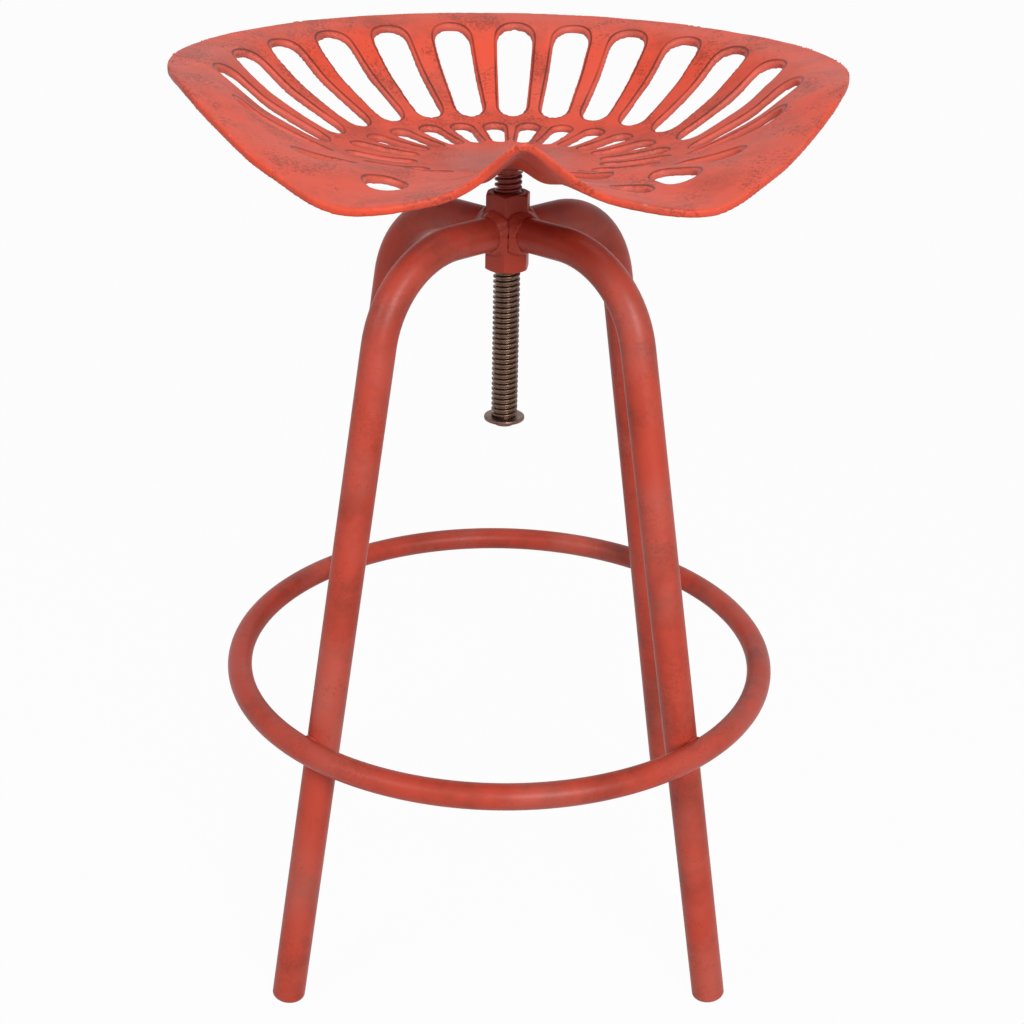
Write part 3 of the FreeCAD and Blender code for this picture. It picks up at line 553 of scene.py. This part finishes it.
class STOOL_OT_spindle(bpy.types.Operator):
    """Trapezoidal screw with its tenon and stub"""

    bl_idname = "stool.spindle"
    bl_label = "Screw"

    def execute(self, context):
        sizes = context.scene.stool_sizes
        low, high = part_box("spindle")[0][2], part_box("spindle")[1][2]
        stub_length, stub_radius, tenon_radius = 3.3 * MM, 6.0 * MM, 7.0 * MM
        thread_low = low + stub_length
        thread_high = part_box("seat_pan")[0][2] - 1.6 * MM
        pitch, crest = sizes.thread_pitch, sizes.thread_radius
        root = crest - sizes.thread_depth
        flat = sizes.thread_crest / 2
        flank = sizes.thread_depth * math.tan(math.radians(15))
        outline = rounded([(root, -pitch / 2), (root, -flat - flank), (crest, -flat), (crest, flat),
                           (root, flat + flank), (root, pitch / 2)], 0.35 * MM, 2)
        steps = 28
        first = math.floor(thread_low / pitch) - 1
        turns = math.ceil(thread_high / pitch) + 1 - first
        bm = bmesh.new()
        verts = [bm.verts.new((radius, 0.0, first * pitch + height)) for radius, height in outline]
        edges = [bm.edges.new(pair) for pair in zip(verts[:-1], verts[1:])]
        bmesh.ops.spin(bm, geom=verts + edges, cent=(0, 0, 0), axis=UP, dvec=UP * (pitch / steps),
                       angle=math.tau, steps=steps, use_merge=False)
        one_turn = bm.verts[:] + bm.edges[:] + bm.faces[:]
        for turn in range(1, turns):
            copied = bmesh.ops.duplicate(bm, geom=one_turn)["geom"]
            bmesh.ops.translate(bm, vec=UP * pitch * turn, verts=only(bmesh.types.BMVert, copied))
        bmesh.ops.remove_doubles(bm, verts=bm.verts, dist=0.005 * MM)
        cut_off(bm, thread_low, -UP)
        cut_off(bm, thread_high, UP)
        bmesh.ops.recalc_face_normals(bm, faces=bm.faces)
        for radius, bottom, top in ((stub_radius, low, thread_low + MM),
                                    (tenon_radius, thread_high - MM, high)):
            turned(bm, rounded([(0, bottom), (radius, bottom), (radius, top), (0, top)], 0.5 * MM), 48)
        screw = loose_object("spindle_screw", bm)
        finish_piece(screw, "oiled_steel_screw", "seat", ["spindle"], math.radians(50))
        return {"FINISHED"}


class STOOL_OT_stops(bpy.types.Operator):
    """Stop washer under the screw and the bolt that holds it"""

    bl_idname = "stool.stops"
    bl_label = "Lower stop"

    def execute(self, context):
        low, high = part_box("stop_washer")[0][2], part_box("stop_washer")[1][2]
        bore, rim = 6.1 * MM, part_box("stop_washer")[1][0]
        bm = bmesh.new()
        middle = (bore, (low + high) / 2)
        turned(bm, rounded([middle, (bore, low), (rim, low), (rim, high), (bore, high), middle],
                           1.2 * MM), 72)
        washer = loose_object("stop_washer_disc", bm)
        finish_piece(washer, "oiled_steel", "carrier", ["stop_washer"])
        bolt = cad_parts["end_bolt"]
        bolt.data.materials.clear()
        bolt.data.materials.append(finish_named("oiled_steel"))
        return {"FINISHED"}


class STOOL_OT_hub(bpy.types.Operator):
    """Long hub nut with chamfered corners"""

    bl_idname = "stool.hub"
    bl_label = "Hub nut"

    def execute(self, context):
        sizes = context.scene.stool_sizes
        low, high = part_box("hub_nut")[0][2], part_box("hub_nut")[1][2]
        corner = sizes.hub_flats / 2 / math.cos(math.pi / 6)
        bm = bmesh.new()
        # A created circle starts on +Y, which for six corners is half a side from +X
        bmesh.ops.create_circle(bm, cap_ends=True, radius=corner, segments=6,
                                matrix=Matrix.Translation((0, 0, low)) @ Matrix.Rotation(
                                    sizes.hub_turn + math.pi / 6, 4, "Z"))
        lifted = bmesh.ops.extrude_face_region(bm, geom=bm.faces[:])
        bmesh.ops.translate(bm, vec=UP * (high - low), verts=only(bmesh.types.BMVert, lifted["geom"]))
        bmesh.ops.recalc_face_normals(bm, faces=bm.faces)
        hub = loose_object("hub_nut_hexagon", bm)
        # The turned blank cuts the corners off in a cone that ends 1 mm outside them
        chamfer, drop, bore = 2.6 * MM, 1.5 * MM * 1.385, sizes.thread_radius + 0.4 * MM
        lead = 1.2 * MM
        blank = bmesh.new()
        turned(blank, [(bore + MM, low - MM), (corner - chamfer, low), (corner + MM, low + drop),
                       (corner + MM, high - drop), (corner - chamfer, high), (bore + lead, high),
                       (bore, high - lead), (bore, low + lead), (bore + lead, low),
                       (bore + MM, low - MM)], 96)
        blank_thing = loose_object("hub_blank", blank)
        trim = hub.modifiers.new("trim", "BOOLEAN")
        trim.operation = "INTERSECT"
        trim.solver = "EXACT"
        trim.object = blank_thing
        bake_modifiers(hub)
        bpy.data.objects.remove(blank_thing)
        edges = hub.modifiers.new("edges", "BEVEL")
        edges.width = 0.5 * MM
        edges.segments = 2
        edges.limit_method = "ANGLE"
        edges.angle_limit = math.radians(25)
        bake_modifiers(hub)
        finish_piece(hub, "enamel_base", "base", ["hub_nut"], math.radians(30))
        return {"FINISHED"}


class STOOL_OT_legs(bpy.types.Operator):
    """Four bent tube legs with their end caps"""

    bl_idname = "stool.legs"
    bl_label = "Legs"

    def execute(self, context):
        sizes = context.scene.stool_sizes
        run, bend, splay = sizes.leg_run_height, sizes.leg_bend_radius, sizes.leg_splay
        bend_start = sizes.foot_circle - (run - bend) * math.tan(splay) - bend / math.cos(splay)
        inside_hub = 11.5 * MM
        tube_end = 9.0 * MM
        foot = Vector((sizes.foot_circle - tube_end * math.sin(splay), 0, tube_end * math.cos(splay)))
        bend_end = Vector((bend_start + bend * math.cos(splay), 0, run - bend + bend * math.sin(splay)))
        for leg, azimuth in LEGS.items():
            bm = bmesh.new()
            bmesh.ops.create_circle(bm, cap_ends=False, radius=sizes.leg_radius, segments=48,
                                    matrix=Matrix.Translation((inside_hub, 0, run)) @ Matrix.Rotation(
                                        math.pi / 2, 4, "Y"))
            rim = self.extruded(bm, bm.edges[:], Vector((bend_start - inside_hub, 0, 0)), 6)
            swept = bmesh.ops.spin(bm, geom=rim, cent=(bend_start, 0, run - bend), axis=(0, 1, 0),
                                   angle=math.pi / 2 - splay, steps=20)
            rim = only(bmesh.types.BMEdge, swept["geom_last"])
            self.extruded(bm, rim, foot - bend_end, 14)
            bmesh.ops.remove_doubles(bm, verts=bm.verts, dist=0.005 * MM)
            bmesh.ops.holes_fill(bm, edges=[edge for edge in bm.edges if edge.is_boundary], sides=0)
            bmesh.ops.rotate(bm, cent=(0, 0, 0), matrix=Matrix.Rotation(math.radians(azimuth), 3, "Z"),
                             verts=bm.verts)
            bmesh.ops.recalc_face_normals(bm, faces=bm.faces)
            tube = loose_object("leg_tube_" + leg, bm)
            finish_piece(tube, "enamel_base", "base", ["leg_" + leg])
            self.cap(leg, azimuth)
        return {"FINISHED"}

    @staticmethod
    def cap(leg, azimuth):
        """Plug with a rim and a domed underside, cut flat where it stands on the floor."""
        radius = bpy.context.scene.stool_sizes.leg_radius
        rim_height, dome_depth, play = 3.2 * MM, 6.4 * MM, 0.7 * MM
        arc = [math.radians(angle) for angle in range(0, 90, 9)]
        dome = [(math.cos(a) * radius, rim_height - math.sin(a) * dome_depth) for a in arc]
        bm = bmesh.new()
        turned(bm, [(0, 7.0 * MM), (radius - play, 7.0 * MM), (radius - play, 5.9 * MM),
                    (radius - 0.1 * MM, 5.4 * MM)] + dome + [(0, rim_height - dome_depth)], 48,
               leg_matrix(azimuth, rim_height))
        cut_off(bm, 0.0, -UP)
        bmesh.ops.recalc_face_normals(bm, faces=bm.faces)
        cap = loose_object("foot_cap_dome_" + leg, bm)
        finish_piece(cap, "enamel_base", "base", ["foot_cap_" + leg])

    @staticmethod
    def extruded(bm, rim, span, parts):
        """Carry an open rim along a straight in several parts and return its new edges."""
        for _ in range(parts):
            grown = bmesh.ops.extrude_edge_only(bm, edges=rim)["geom"]
            rim = only(bmesh.types.BMEdge, grown)
            bmesh.ops.translate(bm, vec=span / parts, verts=only(bmesh.types.BMVert, grown))
        return rim


class STOOL_OT_foot_rail(bpy.types.Operator):
    """Round foot rail on the outside of the legs"""

    bl_idname = "stool.foot_rail"
    bl_label = "Foot rail"

    def execute(self, context):
        sizes = context.scene.stool_sizes
        low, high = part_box("foot_ring")[0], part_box("foot_ring")[1]
        centre = (high[0] - low[0]) / 2 - sizes.rail_radius
        middle = (low[2] + high[2]) / 2
        bm = bmesh.new()
        bmesh.ops.create_circle(bm, cap_ends=False, radius=sizes.rail_radius, segments=32,
                                matrix=Matrix.Translation((centre, 0, middle)) @ Matrix.Rotation(
                                    math.pi / 2, 4, "X"))
        bmesh.ops.spin(bm, geom=bm.verts[:] + bm.edges[:], cent=(0, 0, 0), axis=UP, angle=math.tau,
                       steps=180, use_merge=True)
        bmesh.ops.recalc_face_normals(bm, faces=bm.faces)
        rail = loose_object("foot_ring_rail", bm)
        finish_piece(rail, "enamel_base", "base", ["foot_ring"])
        return {"FINISHED"}


class STOOL_OT_welds(bpy.types.Operator):
    """Rough weld beads at the hub, the foot rail and the seat"""

    bl_idname = "stool.welds"
    bl_label = "Welds"

    def execute(self, context):
        beads = [("hub_weld_" + leg, "base", "base_paint", 0.9) for leg in LEGS]
        beads += [("ring_weld_" + leg, "base", "base_paint", 0.5) for leg in LEGS]
        beads.append(("seat_weld", "seat", "seat_paint", 0.5))
        for node, body, slot, height in beads:
            bead = loose_object(node + "_bead", node_copy(node))
            recast(bead, 0.6 * MM, 6)
            roughen(bead, ((5.5, height), (2.2, 0.4 * height)))
            finish_piece(bead, "enamel_base", body, [node], math.radians(180))
        return {"FINISHED"}


# Studio

# Camera that the legs, the ring, the hub and the feet of the photograph give
CAMERA_PLACE = Vector((-30.27, -1168.46, 879.18)) * MM
CAMERA_PITCH = math.radians(24.65)
CAMERA_YAW = 0.03235
CAMERA_ROLL = math.radians(1.2)
CAMERA_LENS = 57.56

# Softboxes: place and aim in metres, side in metres, power in watts
LAMPS = {
    "key_softbox": ((0.9, -2.5, 1.8), (0, 0, 0.45), 1.0, 66.0),
    "fill_softbox": ((-1.6, -1.6, 2.0), (0, 0, 0.45), 0.8, 18.0),
    "top_softbox": ((0.1, 0.3, 2.6), (0, 0, 0.5), 1.2, 8.0),
}
FLOOR_RADIUS = 25.0
# Share of the floor that shows plain white, so that only a faint shadow is left
FLOOR_WHITE = 0.97
# What the surroundings give as light; they look white to the camera
SKY_LIGHT = 0.18


def lamp(name, place, aim, side, power):
    """Square soft lamp that shines from one point towards another."""
    light = bpy.data.lights.new(name, "AREA")
    light.size = side
    light.energy = power
    thing = bpy.data.objects.new(name, light)
    thing.location = place
    thing.rotation_euler = (Vector(aim) - Vector(place)).to_track_quat("-Z", "Y").to_euler()
    bpy.context.scene.collection.objects.link(thing)


def seen_or_reflected(tree):
    """1 for rays from the camera, in mirrors and through glass."""
    path = tree.nodes.new("ShaderNodeLightPath")
    first = add_node(tree, "ShaderNodeMath", {0: path.outputs["Is Camera Ray"],
                                              1: path.outputs["Is Glossy Ray"]}, operation="MAXIMUM")
    both = add_node(tree, "ShaderNodeMath", {0: first.outputs[0],
                                             1: path.outputs["Is Transmission Ray"]}, operation="MAXIMUM")
    return both.outputs[0]


class STOOL_OT_studio(bpy.types.Operator):
    """Pale floor, soft lamps and the camera"""

    bl_idname = "stool.studio"
    bl_label = "Studio"

    def execute(self, context):
        scene = context.scene
        bm = bmesh.new()
        bmesh.ops.create_circle(bm, cap_ends=True, radius=FLOOR_RADIUS, segments=96)
        floor = loose_object("studio_floor", bm)
        pale, tree, shader, _ = blank_material("matt_white_floor")
        shader.inputs["Base Color"].default_value = (0.5, 0.5, 0.5, 1.0)
        shader.inputs["Roughness"].default_value = 0.9
        shader.inputs["Specular IOR Level"].default_value = 0.1
        white = add_node(tree, "ShaderNodeEmission", Strength=1.0)
        share = add_node(tree, "ShaderNodeMath", {0: seen_or_reflected(tree)}, operation="MULTIPLY")
        share.inputs[1].default_value = FLOOR_WHITE
        mixed = add_node(tree, "ShaderNodeMixShader", {0: share.outputs[0], 1: shader.outputs[0],
                                                       2: white.outputs[0]})
        tree.links.new(mixed.outputs[0], tree.nodes["Material Output"].inputs["Surface"])
        floor.data.materials.append(pale)

        world = bpy.data.worlds.new("studio_sky")
        scene.world = world
        world.use_nodes = True
        sky = world.node_tree
        backdrop = sky.nodes["Background"]
        backdrop.inputs["Color"].default_value = (1.0, 1.0, 1.0, 1.0)
        level = add_node(sky, "ShaderNodeMapRange", {"Value": seen_or_reflected(sky)}, To_Min=SKY_LIGHT)
        sky.links.new(level.outputs["Result"], backdrop.inputs["Strength"])

        for name, settings in LAMPS.items():
            lamp(name, *settings)

        eye = bpy.data.cameras.new("photo_camera")
        eye.lens = CAMERA_LENS
        eye.sensor_width = 36.0
        eye.clip_end = 100.0
        camera = bpy.data.objects.new("photo_camera", eye)
        ahead = Vector((math.sin(CAMERA_YAW) * math.cos(CAMERA_PITCH),
                        math.cos(CAMERA_YAW) * math.cos(CAMERA_PITCH), -math.sin(CAMERA_PITCH)))
        level_right = ahead.cross(UP).normalized()
        level_up = level_right.cross(ahead)
        right = math.cos(CAMERA_ROLL) * level_right + math.sin(CAMERA_ROLL) * level_up
        above = -math.sin(CAMERA_ROLL) * level_right + math.cos(CAMERA_ROLL) * level_up
        camera.matrix_world = Matrix.Translation(CAMERA_PLACE) @ Matrix(
            (right, above, -ahead)).transposed().to_4x4()
        scene.collection.objects.link(camera)
        scene.camera = camera
        scene.view_settings.view_transform = "Standard"
        return {"FINISHED"}


class STOOL_PT_panel(bpy.types.Panel):
    """Buttons for each group of pieces, and the sizes and colours"""

    bl_idname = "STOOL_PT_panel"
    bl_label = "Tractor Seat Stool"
    bl_space_type = "VIEW_3D"
    bl_region_type = "UI"
    bl_category = "Stool"

    def draw(self, context):
        for operator in BUILD_ORDER:
            self.layout.operator(operator.bl_idname)
        for group in (context.scene.stool_sizes, context.scene.stool_finish):
            box = self.layout.box()
            for name in type(group).__annotations__:
                box.prop(group, name)


BUILD_ORDER = (STOOL_OT_seat_pan, STOOL_OT_spindle, STOOL_OT_stops, STOOL_OT_hub, STOOL_OT_legs,
               STOOL_OT_foot_rail, STOOL_OT_welds, STOOL_OT_studio)
CLASSES = (StoolSizes, StoolFinish) + BUILD_ORDER + (STOOL_PT_panel,)


def register():
    for cls in CLASSES:
        bpy.utils.register_class(cls)
    bpy.types.Scene.stool_sizes = bpy.props.PointerProperty(type=StoolSizes)
    bpy.types.Scene.stool_finish = bpy.props.PointerProperty(type=StoolFinish)


def unregister():
    del bpy.types.Scene.stool_finish
    del bpy.types.Scene.stool_sizes
    for cls in reversed(CLASSES):
        bpy.utils.unregister_class(cls)


def main():
    register()
    for operator in BUILD_ORDER:
        group, action = operator.bl_idname.split(".")
        getattr(getattr(bpy.ops, group), action)()


if __name__ == "__main__":
    main()
